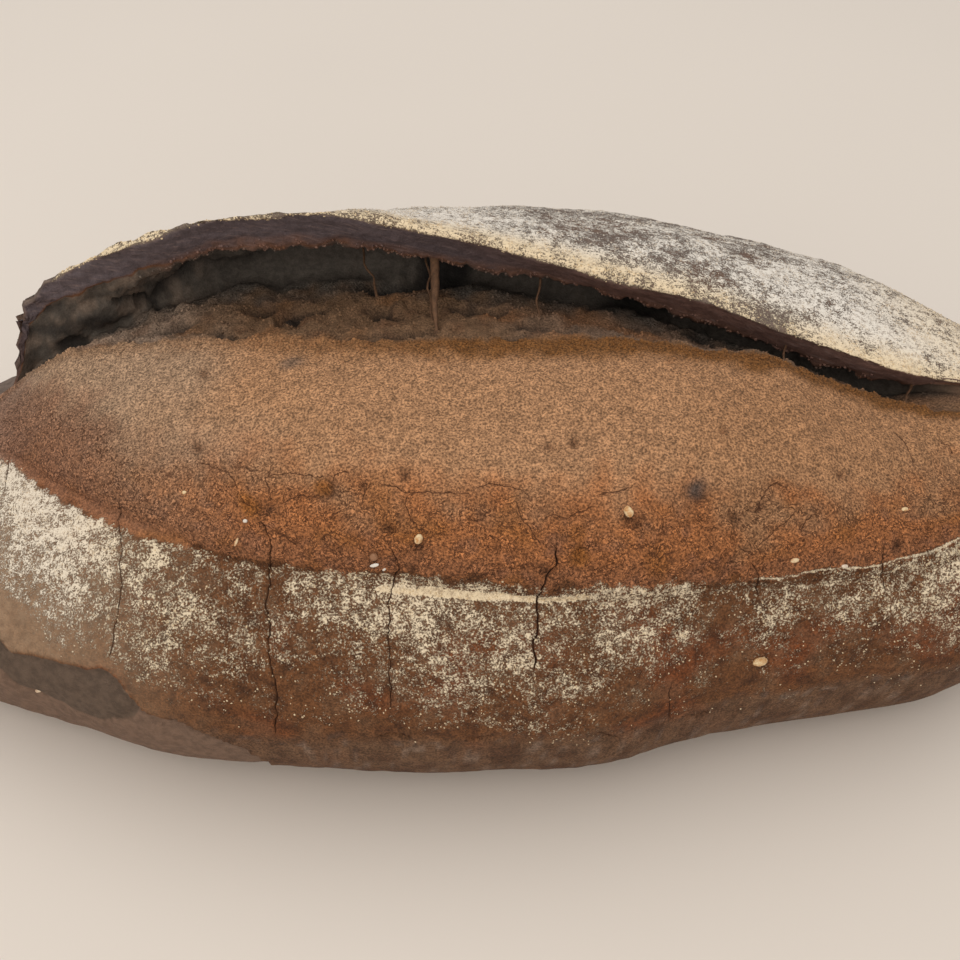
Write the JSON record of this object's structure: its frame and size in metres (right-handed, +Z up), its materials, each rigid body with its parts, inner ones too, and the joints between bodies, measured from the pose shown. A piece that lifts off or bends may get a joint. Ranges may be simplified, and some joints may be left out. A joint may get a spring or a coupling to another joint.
{
  "type": "rye bread loaf",
  "caption": "Oval dark rye loaf with a flat base, a long lengthwise slash opened into a swollen bloom, and a raised crust ear with a hollow behind it.",
  "frame": {"origin": "centre of the bounding box at the flat base that the loaf stands on", "axes": "+X along the loaf's length, +Y from the bloom's side to the back crust, +Z up"},
  "size_m": [0.286, 0.146, 0.0944],
  "materials": {
    "crust": "matt baked rye crust, dark brown, dusted with flour",
    "flour": "loose pale flour grains and clumps on the crust",
    "grain": "pale cereal grains pressed into the crust",
    "crumb": "torn brown rye crumb and drawn dough strands"
  },
  "bodies": {
    "root": {"loaf": "crust"}
  },
  "joints": []
}
